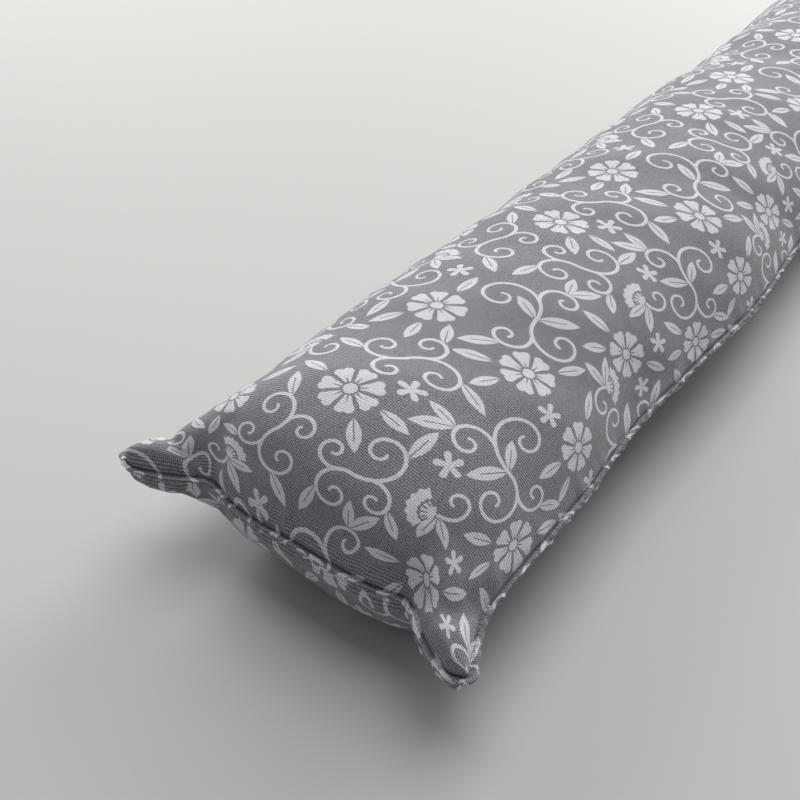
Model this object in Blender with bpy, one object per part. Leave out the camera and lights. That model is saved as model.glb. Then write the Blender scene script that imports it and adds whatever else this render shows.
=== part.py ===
"""Stuffed draught excluder: two printed cloth panels sewn edge to edge round a full filling, with a
narrow edge-stitched roll that stands out all along the seam. Metres, +Z up. The long side runs
along X, the object rests on Z = 0, and its origin is the middle of its footprint."""

import math

import bpy
import numpy as np

# Each panel seam to seam, measured over the filled cloth. It is cut 900 long, and the rounding of
# the filling takes up 25 of that.
PANEL_LENGTH = 0.875
PANEL_WIDTH = 0.200

# The stuffed form.
BODY_WIDTH = 0.160  # seam to seam across the full part
SEAM_HEIGHT = 0.0435  # the seam's height above the surface
TOP_RISE = 0.044  # crown of the upper panel over the seam
BOTTOM_DROP = 0.055  # crown of the lower panel, before the surface flattens it
CONTACT_BLEND = 0.004  # height over which the lower panel curves into its flat rest
NOSE_ARC = 0.082  # length of cloth that rounds down to an end seam
NOSE_REACH = 0.058  # how far that rounding reaches along X
NOSE_POWER = 0.7  # below 1 the nose rises more steeply from its seam

# Corners: each stands out as a blunt ear, pinched where it leaves the body.
EAR_OUT = 0.0125  # how far an ear passes the end seam's middle
EAR_SPREAD = 0.0125  # how far it passes the side seam
EAR_REACH = 0.048  # distance from a corner over which the ear runs out
EAR_PUFF = 0.0095  # half thickness that the turned-in corner gives the ear
EAR_EDGE = 0.010  # distance from the seam over which the puff rises
PUFF_REACH = 0.120  # distance from the corner at which the puff has died away
EAR_RADIUS = 0.009  # reach of the rounding of the turned corner
EAR_TRIM = 0.0026  # how far that rounding takes the corner back
NECK_AT = 0.043  # distance of the pinch from the corner
NECK_WIDTH = 0.009
PINCH_WIDTH = 0.012  # width along the end seam over which the pinch draws it in
NECK_PINCH = 0.0045  # how far the pinch draws the end seam in
NECK_GROOVE = 0.0065  # depth of the fold across the neck

# Each ear rises or droops a little from the seam's height. End and side are the signs of X and Y.
EAR_LIFTS = (
    # end, side, lift
    (-1, 1, 0.008),
    (-1, -1, -0.004),
    (1, 1, -0.003),
    (1, -1, 0.005),
)
LIFT_REACH = 0.075

# Unevenness of the filling: where it swells or slackens the body, by how much at each side seam
# (outwards is positive) and on the crown.
SWELLS = (
    # along, reach, right seam, left seam, crown
    (-0.2575, 0.060, -0.0030, 0.0010, 0.0008),
    (-0.1275, 0.080, 0.0040, -0.0010, -0.0006),
    (0.0475, 0.100, -0.0015, 0.0020, 0.0),
    (0.1175, 0.075, 0.0020, -0.0015, -0.0035),
    (0.2775, 0.080, -0.0025, 0.0025, -0.0008),
)

RIGHT, LEFT, CROWN = 2, 3, 4  # columns of that table

# Edge-stitched roll on the seam.
ROLL_WIDTH = 0.0040
ROLL_THICKNESS = 0.0026
ROLL_SIDES = 6
GAP = 0.0003  # clearance between the two solids
LEAST_HALF = 0.0003  # thinnest half of the cushion just inside its seam

# Mesh density: cells are short in the noses and ears, and long down the body.
NOSE_CELLS = 13
BODY_CELLS = 28
EDGE_CELLS = 7
CROWN_CELLS = 14
EAR_BAND = 0.050
CROWDING = 1.4  # above 1 the cells crowd towards the seam

CLOTH_GREY = (0.160, 0.160, 0.172, 1.0)
ROLL_GREY = (0.130, 0.130, 0.140, 1.0)
CLOTH_ROUGHNESS = 0.85


def clear_scene():
    for obj in list(bpy.data.objects):
        bpy.data.objects.remove(obj, do_unlink=True)


def cloth_material(name, colour):
    material = bpy.data.materials.new(name)
    material.use_nodes = True
    shader = material.node_tree.nodes["Principled BSDF"]
    shader.inputs["Base Color"].default_value = colour
    shader.inputs["Roughness"].default_value = CLOTH_ROUGHNESS
    shader.inputs["Metallic"].default_value = 0.0
    return material


def fall(distance, reach):
    """1 at no distance, falling smoothly to 0 at reach and beyond."""
    part = np.clip(distance / reach, 0.0, 1.0)
    return 0.5 + 0.5 * np.cos(math.pi * part)


def bump(distance, centre, width):
    """A rounded hump of height 1 at centre."""
    return np.exp(-(((distance - centre) / width) ** 2))


def swell(along, column):
    """Sum of the filling's swells at each place, read from one column of their table."""
    return sum(row[column] * fall(np.abs(along - row[0]), row[1]) for row in SWELLS)


def trim(from_corner, inward):
    """How far a seam is taken back near its end, so that two of them meet in a blunt corner."""
    return EAR_TRIM * np.maximum(1.0 - from_corner / EAR_RADIUS, 0.0) ** 2 * fall(inward, EAR_REACH)


def stations(half, band, band_cells, middle_cells):
    """Panel coordinates from -half to half, with band_cells short cells in the band at each end."""
    start = -half + band * np.linspace(0.0, 1.0, band_cells + 1) ** CROWDING
    middle = np.linspace(-half + band, half - band, middle_cells + 1)[1:-1]
    return np.concatenate([start, middle, -start[::-1]])


def ear_lift(along, across):
    """Rise or droop of the seam plane towards each corner, from the table of ears."""
    lift = np.zeros_like(along)
    for end, side, height in EAR_LIFTS:
        from_end = PANEL_LENGTH / 2 - end * along
        from_side = PANEL_WIDTH / 2 - side * across
        lift += height * fall(from_end, LIFT_REACH) * fall(from_side, LIFT_REACH)
    return lift


def panel(along, across, upper):
    """Where the panel point (along, across) lies in the stuffed form.

    Down the body the panel is half an ellipse, seam to seam. Over the noses it rounds down to the
    end seam, and at the corners it flattens into the ears, with a groove across each neck."""
    from_end = PANEL_LENGTH / 2 - np.abs(along)
    from_side = PANEL_WIDTH / 2 - np.abs(across)
    corner = from_end + from_side
    turn = math.pi / 2 * np.clip(from_end / NOSE_ARC, 0.0, 1.0)
    nose = np.sin(turn) ** NOSE_POWER
    neck = bump(corner, NECK_AT, NECK_WIDTH)
    neck_end = fall(from_end, NOSE_ARC) * bump(from_side, NECK_AT, PINCH_WIDTH)

    nose_back = NOSE_REACH * (1.0 - np.cos(turn)) + np.maximum(from_end - NOSE_ARC, 0.0)
    body_half = PANEL_LENGTH / 2 - NOSE_ARC + NOSE_REACH
    x_size = body_half - nose_back + EAR_OUT * fall(from_side, EAR_REACH) * fall(from_end, EAR_REACH)
    x_size -= NECK_PINCH * neck_end + trim(from_side, from_end)

    flat = across / (PANEL_WIDTH / 2)
    section = np.sin(math.pi / 2 * flat)
    spread = flat + (section - flat) * np.sin(turn)
    half_width = BODY_WIDTH / 2 + EAR_SPREAD * fall(from_end, EAR_REACH)
    half_width += np.where(across < 0.0, swell(along, RIGHT), swell(along, LEFT))
    y = spread * half_width - np.sign(across) * trim(from_end, from_side)

    crown = nose * np.cos(math.pi / 2 * flat)
    rise = TOP_RISE + swell(along, CROWN) if upper else BOTTOM_DROP
    edge = np.clip(np.minimum(from_end, from_side) / EAR_EDGE, 0.0, 1.0)
    puff = EAR_PUFF * np.sin(math.pi / 2 * edge) * fall(corner, PUFF_REACH)
    groove = NECK_GROOVE * neck * np.sin(math.pi / 2 * edge)
    thick = np.maximum(rise * crown + puff - groove, LEAST_HALF)
    thick = np.where(np.minimum(from_end, from_side) > 0.0, thick, 0.0)

    seam = SEAM_HEIGHT + ear_lift(along, across)
    if upper:
        z = seam + thick
    else:
        z = rest_flat(seam - thick)
    return np.stack([np.sign(along) * x_size, y, z], axis=-1)


def rest_flat(height):
    """Heights under the surface come up to it exactly, through a short smooth curve."""
    curve = (height + CONTACT_BLEND) ** 2 / (4.0 * CONTACT_BLEND)
    inside = np.where(height < -CONTACT_BLEND, 0.0, curve)
    return np.where(height > CONTACT_BLEND, height, inside)


def seam_loop(along, across):
    """Grid indices of the seam, once round anticlockwise as seen from above."""
    last_a = len(along) - 1
    last_c = len(across) - 1
    side_one = [(i, 0) for i in range(last_a)]
    end_one = [(last_a, j) for j in range(last_c)]
    side_two = [(i, last_c) for i in range(last_a, 0, -1)]
    end_two = [(0, j) for j in range(last_c, 0, -1)]
    return np.array(side_one + end_one + side_two + end_two)


def grid_quads(rows, columns, flip):
    """Quads of a rows by columns grid, facing up, or down if flip is set."""
    index = np.arange(rows * columns).reshape(rows, columns)
    quads = np.stack(
        [index[:-1, :-1], index[1:, :-1], index[1:, 1:], index[:-1, 1:]], axis=-1
    ).reshape(-1, 4)
    return quads[:, ::-1] if flip else quads


def add_object(name, points, faces, material):
    mesh = bpy.data.meshes.new(name)
    mesh.from_pydata(points.tolist(), [], faces.tolist())
    mesh.validate()
    mesh.shade_smooth()
    mesh.materials.append(material)
    obj = bpy.data.objects.new(name, mesh)
    bpy.context.scene.collection.objects.link(obj)
    return obj


def make_cushion(top, bottom, rim):
    """The filled cushion: both panels as grids that share the points of their seam."""
    rows, columns = top.shape[:2]
    count = rows * columns
    lower = grid_quads(rows, columns, True) + count
    shared = np.arange(2 * count)
    rim_index = rim[:, 0] * columns + rim[:, 1]
    shared[count + rim_index] = rim_index
    faces = np.vstack([grid_quads(rows, columns, False), shared[lower]])
    used, faces = np.unique(faces, return_inverse=True)
    points = np.vstack([top.reshape(-1, 3), bottom.reshape(-1, 3)])[used]
    return add_object(
        "cushion", points, faces.reshape(-1, 4), cloth_material("printed_cloth", CLOTH_GREY)
    )


def make_edge_roll(seam):
    """The narrow roll outside the seam: an oval section carried once round it."""
    before = np.roll(seam, 1, axis=0)
    after = np.roll(seam, -1, axis=0)
    heading = after - before
    heading /= np.linalg.norm(heading, axis=1)[:, None]
    outward = np.stack([heading[:, 1], -heading[:, 0], np.zeros(len(seam))], axis=-1)
    outward /= np.linalg.norm(outward, axis=1)[:, None]
    upward = np.array([0.0, 0.0, 1.0])
    centre = seam + outward * (GAP + ROLL_WIDTH / 2)
    angle = np.arange(ROLL_SIDES) / ROLL_SIDES * 2 * math.pi
    across = ROLL_WIDTH / 2 * np.cos(angle)[None, :, None] * outward[:, None, :]
    height = ROLL_THICKNESS / 2 * np.sin(angle)[None, :, None] * upward
    points = (centre[:, None, :] + across + height).reshape(-1, 3)
    ring = np.arange(len(points)).reshape(len(seam), ROLL_SIDES)
    ahead = np.roll(ring, -1, axis=0)
    faces = np.stack(
        [ring, ahead, np.roll(ahead, -1, axis=1), np.roll(ring, -1, axis=1)], axis=-1
    ).reshape(-1, 4)
    return add_object("edge_roll", points, faces, cloth_material("folded_edge", ROLL_GREY))


def main():
    clear_scene()
    along = stations(PANEL_LENGTH / 2, NOSE_ARC, NOSE_CELLS, BODY_CELLS)
    across = stations(PANEL_WIDTH / 2, EAR_BAND, EDGE_CELLS, CROWN_CELLS)
    grid = np.meshgrid(along, across, indexing="ij")
    top = panel(*grid, upper=True)
    bottom = panel(*grid, upper=False)
    rim = seam_loop(along, across)
    make_cushion(top, bottom, rim)
    make_edge_roll(top[rim[:, 0], rim[:, 1]])


main()
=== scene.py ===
"""Draught excluder: two printed cloth panels sewn edge to edge round a full filling, with a narrow
edge-stitched roll all round. Metres, +Z up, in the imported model's own frame."""

import math

import bpy
import numpy as np
from mathutils import Matrix, Vector


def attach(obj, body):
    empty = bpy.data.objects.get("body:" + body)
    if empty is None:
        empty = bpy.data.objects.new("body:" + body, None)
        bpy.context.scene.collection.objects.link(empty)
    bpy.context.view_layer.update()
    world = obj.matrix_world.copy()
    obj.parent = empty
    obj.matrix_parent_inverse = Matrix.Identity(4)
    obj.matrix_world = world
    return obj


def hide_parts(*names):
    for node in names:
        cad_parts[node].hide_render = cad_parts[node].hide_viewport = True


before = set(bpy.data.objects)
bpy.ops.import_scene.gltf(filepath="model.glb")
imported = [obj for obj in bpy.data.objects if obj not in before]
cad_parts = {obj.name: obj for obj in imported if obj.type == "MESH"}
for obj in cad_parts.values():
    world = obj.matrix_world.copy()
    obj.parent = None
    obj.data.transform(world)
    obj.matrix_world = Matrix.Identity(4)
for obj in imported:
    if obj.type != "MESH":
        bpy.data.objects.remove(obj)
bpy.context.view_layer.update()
scene = bpy.context.scene

# ------------------------------------------------
# Camera. It stands over the near end, on the side of the front ear, and looks down along the body
# to where the far end passes out of view.

CAMERA_PLACE = (-0.6239, -0.2047, 0.3570)
CAMERA_HEADING = math.radians(36.05)  # from +X towards +Y
CAMERA_DIP = math.radians(38.89)
CAMERA_ROLL = math.radians(0.45)
SENSOR_WIDTH = 36.0
LENS = 46.38

camera_data = bpy.data.cameras.new("camera")
camera_data.sensor_width = SENSOR_WIDTH
camera_data.lens = LENS
camera_data.clip_start = 0.01
camera = bpy.data.objects.new("camera", camera_data)
camera.matrix_world = (
    Matrix.Translation(CAMERA_PLACE)
    @ Matrix.Rotation(CAMERA_HEADING - math.pi / 2, 4, "Z")
    @ Matrix.Rotation(math.pi / 2 - CAMERA_DIP, 4, "X")
    @ Matrix.Rotation(CAMERA_ROLL, 4, "Z")
)
scene.collection.objects.link(camera)
scene.camera = camera

# ------------------------------------------------
# Floor and light. A plain pale painted floor, lit softly from beyond the far end, from the left
# side and from above, so the near end and the right side fall into shade.

FLOOR_HALF = 6.0
FLOOR_COLOUR = (0.575, 0.570, 0.560, 1.0)
FLOOR_ROUGHNESS = 0.75
WORLD_COLOUR = (0.93, 0.96, 1.0, 1.0)
WORLD_STRENGTH = 0.20
LIGHT_AIM = (0.0, 0.0, 0.0)
LIGHT_COLOUR = (1.0, 0.99, 0.97)
LIGHTS = (
    # name, place, width, power
    ("far window", (2.2, 0.0, 1.0), 1.6, 41.0),
    ("side window", (0.70, 2.1, 1.0), 1.6, 33.0),
    ("skylight", (1.6, 0.3, 2.0), 1.6, 12.0),
    ("ceiling", (0.2, 0.0, 2.4), 1.8, 24.0),
)

square = ((-1, -1), (1, -1), (1, 1), (-1, 1))
floor_corners = [(x * FLOOR_HALF, y * FLOOR_HALF, 0.0) for x, y in square]
floor_mesh = bpy.data.meshes.new("floor")
floor_mesh.from_pydata(floor_corners, [], [(0, 1, 2, 3)])
floor = bpy.data.objects.new("floor", floor_mesh)
scene.collection.objects.link(floor)
floor_paint = bpy.data.materials.new("pale_floor")
floor_paint.use_nodes = True
floor_shader = floor_paint.node_tree.nodes["Principled BSDF"]
floor_shader.inputs["Base Color"].default_value = FLOOR_COLOUR
floor_shader.inputs["Roughness"].default_value = FLOOR_ROUGHNESS
floor_mesh.materials.append(floor_paint)

world = bpy.data.worlds.new("soft_room")
world.use_nodes = True
sky = world.node_tree.nodes["Background"]
sky.inputs["Color"].default_value = WORLD_COLOUR
sky.inputs["Strength"].default_value = WORLD_STRENGTH
scene.world = world
scene.view_settings.view_transform = "Standard"

for light_name, place, width, power in LIGHTS:
    lamp_data = bpy.data.lights.new(light_name, "AREA")
    lamp_data.shape = "SQUARE"
    lamp_data.size = width
    lamp_data.energy = power
    lamp_data.color = LIGHT_COLOUR
    lamp = bpy.data.objects.new(light_name, lamp_data)
    aimed = (Vector(LIGHT_AIM) - Vector(place)).to_track_quat("-Z", "Y")
    lamp.matrix_world = Matrix.Translation(place) @ aimed.to_matrix().to_4x4()
    scene.collection.objects.link(lamp)

# ------------------------------------------------
# Cover. Two rectangles of printed plain-weave cotton, sewn edge to edge and blown out by a full
# fibre filling: crowned along the body, rounded down at the ends, with a blunt ear at each corner.

PANEL_LENGTH = 0.875  # of each panel over the filled cloth, seam to seam
PANEL_WIDTH = 0.200
BODY_WIDTH = 0.160  # seam to seam across the full part
SEAM_HEIGHT = 0.0435
TOP_RISE = 0.044  # crown of the upper panel over the seam
BOTTOM_DROP = 0.055  # crown of the lower panel, before the floor flattens it
CONTACT_BLEND = 0.004  # height over which the lower panel curves into its flat rest
NOSE_ARC = 0.082  # length of cloth that rounds down to an end seam
NOSE_REACH = 0.058  # how far that rounding reaches along the body
NOSE_POWER = 0.7
EAR_OUT = 0.0125  # how far an ear passes the end seam
EAR_SPREAD = 0.0125  # how far it passes the side seam
EAR_REACH = 0.048
EAR_PUFF = 0.0085  # thickness of filling in an ear, above and below the seam
EAR_EDGE = 0.0075  # how far in from the seam it takes to reach that
PUFF_REACH = 0.120
EAR_RADIUS = 0.009
EAR_TRIM = 0.0026  # how far the blunt corner is taken back
NECK_AT = 0.043  # distance of an ear's pinched neck from its corner
NECK_WIDTH = 0.009
PINCH_WIDTH = 0.012
NECK_PINCH = 0.0045
NECK_GROOVE = 0.0065  # depth of the crease across an ear's neck
GROOVE_LEAST = 0.30  # share of the groove that is left away from the seams
CREASE_REACH = 0.018
LEAST_HALF = 0.0003  # half the thickness where a panel has no filling under it
ON_SEAM = 1e-9  # nearer the edge than this is the seam itself
EAR_LIFTS = (
    # end, side, lift
    (-1, 1, 0.008),
    (-1, -1, -0.004),
    (1, 1, -0.003),
    (1, -1, 0.005),
)
LIFT_REACH = 0.075
SWELLS = (
    # along, reach, right seam, left seam, crown
    (-0.2575, 0.060, -0.0030, 0.0010, 0.0008),
    (-0.1275, 0.080, 0.0040, -0.0010, -0.0006),
    (0.0475, 0.100, -0.0015, 0.0020, 0.0),
    (0.1175, 0.075, 0.0020, -0.0015, -0.0035),
    (0.2775, 0.080, -0.0025, 0.0025, -0.0008),
)
RIGHT, LEFT, CROWN = 2, 3, 4  # columns of that table

CELLS_ALONG = 225  # cells of the simulated cloth; the finished cloth has twice as many
CELLS_ACROSS = 50


def fall(distance, reach):
    """1 at no distance, down a half cosine wave to 0 at reach and beyond."""
    return 0.5 + 0.5 * np.cos(math.pi * np.clip(distance / reach, 0.0, 1.0))


def hump(distance, centre, width):
    """A rounded hump of height 1 at centre: e to minus the square of the distance over width."""
    return np.exp(-(((distance - centre) / width) ** 2))


def swell(along, column):
    """Sum of the filling's swells at each place, read from one column of their table."""
    return sum(row[column] * fall(np.abs(along - row[0]), row[1]) for row in SWELLS)


def corner_trim(from_corner, inward):
    """How far a seam is taken back near its end, so that two of them meet in a blunt corner."""
    near = np.maximum(1.0 - from_corner / EAR_RADIUS, 0.0) ** 2
    return EAR_TRIM * near * fall(inward, EAR_REACH)


def rest_on_floor(height, blend):
    """Heights under the floor come up to it, on a parabola from blend above it to blend below."""
    curve = (height + blend) ** 2 / (4.0 * blend)
    return np.where(height > blend, height, np.where(height < -blend, 0.0, curve))


def panel_shape(along, across, upper):
    """Where the cut point (along, across) of a panel lies once the cover is filled.

    Down the body it is half an ellipse, seam to seam: across goes as the sine of the share of the
    half width, and height as its cosine. Over the ends the height also falls as the sine of the
    share of the nose. At the corners the panel flattens into ears, with a groove at each neck."""
    from_end = PANEL_LENGTH / 2 - np.abs(along)
    from_side = PANEL_WIDTH / 2 - np.abs(across)
    corner = from_end + from_side
    turn = math.pi / 2 * np.clip(from_end / NOSE_ARC, 0.0, 1.0)
    pinch = fall(from_end, NOSE_ARC) * hump(from_side, NECK_AT, PINCH_WIDTH)

    back = NOSE_REACH * (1.0 - np.cos(turn)) + np.maximum(from_end - NOSE_ARC, 0.0)
    out = EAR_OUT * fall(from_side, EAR_REACH) * fall(from_end, EAR_REACH)
    x = PANEL_LENGTH / 2 - NOSE_ARC + NOSE_REACH - back + out
    x = x - NECK_PINCH * pinch - corner_trim(from_side, from_end)

    share = across / (PANEL_WIDTH / 2)
    section = np.sin(math.pi / 2 * share)
    half_width = BODY_WIDTH / 2 + EAR_SPREAD * fall(from_end, EAR_REACH)
    half_width = half_width + np.where(across < 0.0, swell(along, RIGHT), swell(along, LEFT))
    y = (share + (section - share) * np.sin(turn)) * half_width
    y = y - np.sign(across) * corner_trim(from_end, from_side)

    rise = TOP_RISE + swell(along, CROWN) if upper else BOTTOM_DROP
    crown = np.sin(turn) ** NOSE_POWER * np.cos(math.pi / 2 * share)
    in_from_edge = np.minimum(from_end, from_side)
    edge = np.sin(math.pi / 2 * np.clip(in_from_edge / EAR_EDGE, 0.0, 1.0))
    puff = EAR_PUFF * edge * fall(corner, PUFF_REACH)
    crease = GROOVE_LEAST + (1.0 - GROOVE_LEAST) * fall(in_from_edge, CREASE_REACH)
    groove = NECK_GROOVE * crease * edge * hump(corner, NECK_AT, NECK_WIDTH)
    thick = np.maximum(rise * crown + puff - groove, LEAST_HALF)
    thick = np.where(in_from_edge > ON_SEAM, thick, 0.0)

    seam = SEAM_HEIGHT
    for end, side, height in EAR_LIFTS:
        near_end = fall(PANEL_LENGTH / 2 - end * along, LIFT_REACH)
        seam = seam + height * near_end * fall(PANEL_WIDTH / 2 - side * across, LIFT_REACH)
    z = seam + thick if upper else rest_on_floor(seam - thick, CONTACT_BLEND)
    return np.stack([np.sign(along) * x, y, z], axis=-1)


def grid_quads(rows, columns):
    """Corner indices of every cell of a rows by columns grid, anticlockwise from above."""
    index = np.arange(rows * columns).reshape(rows, columns)
    corners = [index[:-1, :-1], index[1:, :-1], index[1:, 1:], index[:-1, 1:]]
    return np.stack(corners, axis=-1).reshape(-1, 4)


def seam_walk(rows, columns):
    """Grid places of the seam, once round anticlockwise as seen from above, as (row, column)."""
    last_r, last_c = rows - 1, columns - 1
    first_side = [(i, 0) for i in range(last_r)]
    first_end = [(last_r, j) for j in range(last_c)]
    second_side = [(i, last_c) for i in range(last_r, 0, -1)]
    second_end = [(0, j) for j in range(last_c, 0, -1)]
    return np.array(first_side + first_end + second_side + second_end)


def sewn_faces(rows, columns):
    """Faces of both panels as one closed skin: the lower panel uses the upper one's seam points.
    Also gives, for each point that is kept, its index in the two stacked grids."""
    count = rows * columns
    walk = seam_walk(rows, columns)
    seam = walk[:, 0] * columns + walk[:, 1]
    shared = np.arange(2 * count)
    shared[count + seam] = seam
    cells = grid_quads(rows, columns)
    faces = np.vstack([cells, shared[cells[:, ::-1] + count]])
    kept, renumbered = np.unique(faces, return_inverse=True)
    return kept, renumbered.reshape(-1, 4)


def add_piece(name, points, faces):
    """A smooth-shaded mesh object at the origin, from an array of points and a list of faces."""
    mesh = bpy.data.meshes.new(name)
    mesh.from_pydata(points.tolist(), [], faces)
    mesh.shade_smooth()
    piece = bpy.data.objects.new(name, mesh)
    scene.collection.objects.link(piece)
    return piece


def add_map(piece, name, corners):
    """Writes a UV map from one (u, v) for each corner of each face."""
    layer = piece.data.uv_layers.new(name=name)
    layer.uv.foreach_set("vector", np.ascontiguousarray(corners, dtype=np.float32).ravel())


def fill_cover(upper, lower, flat):
    """The same cloth after pressure from inside has pushed on it, cut flat and sewn at the seam.

    Its springs want the lengths of the flat cut, so cloth that the ends and ears have no room for
    buckles into small pleats, as it does on the real cover."""
    rows, columns = upper.shape[:2]
    kept, faces = sewn_faces(rows, columns)
    points = np.vstack([upper.reshape(-1, 3), lower.reshape(-1, 3)])[kept]
    cut = np.vstack([flat.reshape(-1, 3), flat.reshape(-1, 3)])[kept]
    balloon = add_piece("balloon", points, faces.tolist())
    balloon.shape_key_add(name="filled")
    rest = balloon.shape_key_add(name="cut")
    rest.data.foreach_set("co", cut.astype(np.float32).ravel())
    balloon.active_shape_key_index = 0
    held = balloon.vertex_groups.new(name="on_floor")
    held.add(np.flatnonzero(points[:, 2] < HELD_UNDER).tolist(), 1.0, "REPLACE")

    cloth = balloon.modifiers.new("cloth", "CLOTH")
    springs = cloth.settings
    springs.rest_shape_key = rest
    springs.vertex_group_mass = "on_floor"
    springs.quality = SIM_QUALITY
    springs.mass = POINT_MASS
    springs.tension_stiffness = TENSION
    springs.compression_stiffness = COMPRESSION
    springs.shear_stiffness = SHEAR
    springs.bending_stiffness = BENDING
    springs.use_pressure = True
    springs.uniform_pressure_force = PRESSURE
    springs.effector_weights.gravity = 0.0
    cloth.collision_settings.use_collision = False
    cloth.collision_settings.use_self_collision = False
    for step in range(1, SIM_FRAMES + 1):
        scene.frame_set(step)
    graph = bpy.context.evaluated_depsgraph_get()
    pushed = balloon.evaluated_get(graph).to_mesh()
    moved = np.empty(len(points) * 3, np.float32)
    pushed.vertices.foreach_get("co", moved)
    balloon.evaluated_get(graph).to_mesh_clear()
    scene.frame_set(1)
    bpy.data.objects.remove(balloon, do_unlink=True)

    shift = moved.reshape(-1, 3).astype(np.float64) - points
    stacked = np.zeros((2 * rows * columns, 3))
    stacked[kept] = shift
    walk = seam_walk(rows, columns)
    seam = walk[:, 0] * columns + walk[:, 1]
    stacked[rows * columns + seam] = stacked[seam]
    return stacked.reshape(2, rows, columns, 3)


def capped(shift, most):
    """The same moves, none longer than most: a length l becomes most times tanh(l / most)."""
    size = np.linalg.norm(shift, axis=-1, keepdims=True) + TINY
    return shift * most * np.tanh(size / most) / size


def refined(rows):
    """Doubles a grid's rows: a new row between b and c is (9 (b + c) - (a + d)) / 16, a cubic."""
    longer = np.concatenate([2 * rows[:1] - rows[1:2], rows, 2 * rows[-1:] - rows[-2:-1]])
    between = (9.0 * (longer[1:-2] + longer[2:-1]) - (longer[:-3] + longer[3:])) / 16.0
    finer = np.empty((2 * len(rows) - 1,) + rows.shape[1:])
    finer[::2] = rows
    finer[1::2] = between
    return finer


def surface_normals(points, outward):
    """Unit normals of a grid surface: the cross product of its two directions, times outward."""
    normal = np.cross(np.gradient(points, axis=0), np.gradient(points, axis=1)) * outward
    return normal / (np.linalg.norm(normal, axis=-1, keepdims=True) + TINY)


TINY = 1e-12  # added to a length, so that nothing is divided by zero
HELD_UNDER = 0.0003  # cloth this near the floor stays where it is
SIM_FRAMES = 20
SIM_QUALITY = 6
POINT_MASS = 0.05
TENSION = 25.0
COMPRESSION = 12.0
SHEAR = 8.0
BENDING = 0.4
PRESSURE = 4.0
MOST_MOVE = 0.0038  # cap on how far the filling moves a point of a panel
MOST_SEAM_MOVE = 0.0018  # the same at the seam
FREE_FROM = 0.012  # how far in from the seam the cloth moves freely
SETTLE_BLEND = 0.0005

cut_along = np.linspace(-PANEL_LENGTH / 2, PANEL_LENGTH / 2, CELLS_ALONG + 1)
cut_across = np.linspace(-PANEL_WIDTH / 2, PANEL_WIDTH / 2, CELLS_ACROSS + 1)
ALONG, ACROSS = np.meshgrid(cut_along, cut_across, indexing="ij")
skins = np.stack([panel_shape(ALONG, ACROSS, True), panel_shape(ALONG, ACROSS, False)])
flat_cut = np.stack([ALONG, ACROSS, np.zeros_like(ALONG)], axis=-1)
pushes = fill_cover(skins[0], skins[1], flat_cut)
inward = np.minimum(PANEL_LENGTH / 2 - np.abs(ALONG), PANEL_WIDTH / 2 - np.abs(ACROSS))
free = 1.0 - fall(inward, FREE_FROM)
most_move = MOST_SEAM_MOVE + (MOST_MOVE - MOST_SEAM_MOVE) * free
skins = skins + capped(pushes, most_move[None, :, :, None])
skins[..., 2] = rest_on_floor(skins[..., 2], SETTLE_BLEND)
skins = np.moveaxis(refined(np.moveaxis(skins, 1, 0)), 0, 1)
skins = np.moveaxis(refined(np.moveaxis(skins, 2, 0)), 0, 2)
FINE_ALONG, FINE_ACROSS = np.meshgrid(
    np.linspace(-PANEL_LENGTH / 2, PANEL_LENGTH / 2, 2 * CELLS_ALONG + 1),
    np.linspace(-PANEL_WIDTH / 2, PANEL_WIDTH / 2, 2 * CELLS_ACROSS + 1),
    indexing="ij",
)

# The stitching gathers the cloth a little, so short puckers run in from the seam, and the filling
# is never quite even, so the panels have slow soft dents.
PUCKER_DEPTH = 0.00055
PUCKER_REACH = 0.020
PUCKER_RISE = 0.003
PUCKERS = (
    # length of one, strength, phase
    (0.0113, 0.50, 0.3),
    (0.0171, 0.55, 1.9),
    (0.0072, 0.28, 4.1),
    (0.0290, 0.40, 2.6),
)
PUCKER_LEAST = -0.35  # the wave is cut off under this
PUCKER_DRIFT = 40.0  # how fast a pucker leans as it runs in from the seam
SIDE_APART = 0.31  # sets the puckers of the two sides apart
END_APART = 0.17
LOWER_TWIST = 1.7  # sets the lower panel's puckers and dents apart from the upper one's
SEAM_BULGE = 0.0013  # how far the filled cloth stands out beside the seam
BULGE_RISE = 0.0022
BULGE_REACH = 0.016
DENT_DEPTH = 0.0007
DENT_REACH = 0.030  # how far in from the seam the dents are at full depth
DENT_SHIFT = 0.07
DENT_SWAY = 1.3
DENT_SWAY_ALONG = 5.0
DENT_SWAY_ACROSS = 3.0
DENTS = (
    # waves along, waves across, phase, strength
    (9.0, 1.2, 0.4, 0.8),
    (5.0, -2.1, 2.2, 0.7),
    (14.0, 2.7, 5.0, 0.45),
    (17.0, -1.6, 1.1, 0.40),
    (24.0, 3.4, 3.3, 0.25),
)
FLAT_UNDER = 0.0015  # cloth this near the floor has no puckers or dents


def pucker_wave(run, drift):
    """Uneven ripple along a seam: a sum of sines of the run, each phase swaying with drift."""
    wave = sum(
        share * np.sin(2 * math.pi * run / length + phase + drift * share)
        for length, share, phase in PUCKERS
    )
    return np.maximum(wave, PUCKER_LEAST)


def dent_wave(along, across):
    """Slow soft dents: a sum of slanting sine waves over the whole panel, each swaying a little."""
    u, v = along / PANEL_LENGTH, across / PANEL_WIDTH
    total = 0.0
    for a, c, phase, share in DENTS:
        sway = DENT_SWAY * np.sin(DENT_SWAY_ALONG * u + DENT_SWAY_ACROSS * v + phase)
        total = total + share * np.sin(2 * math.pi * (a * u + c * v) + phase + sway)
    return total


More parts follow.
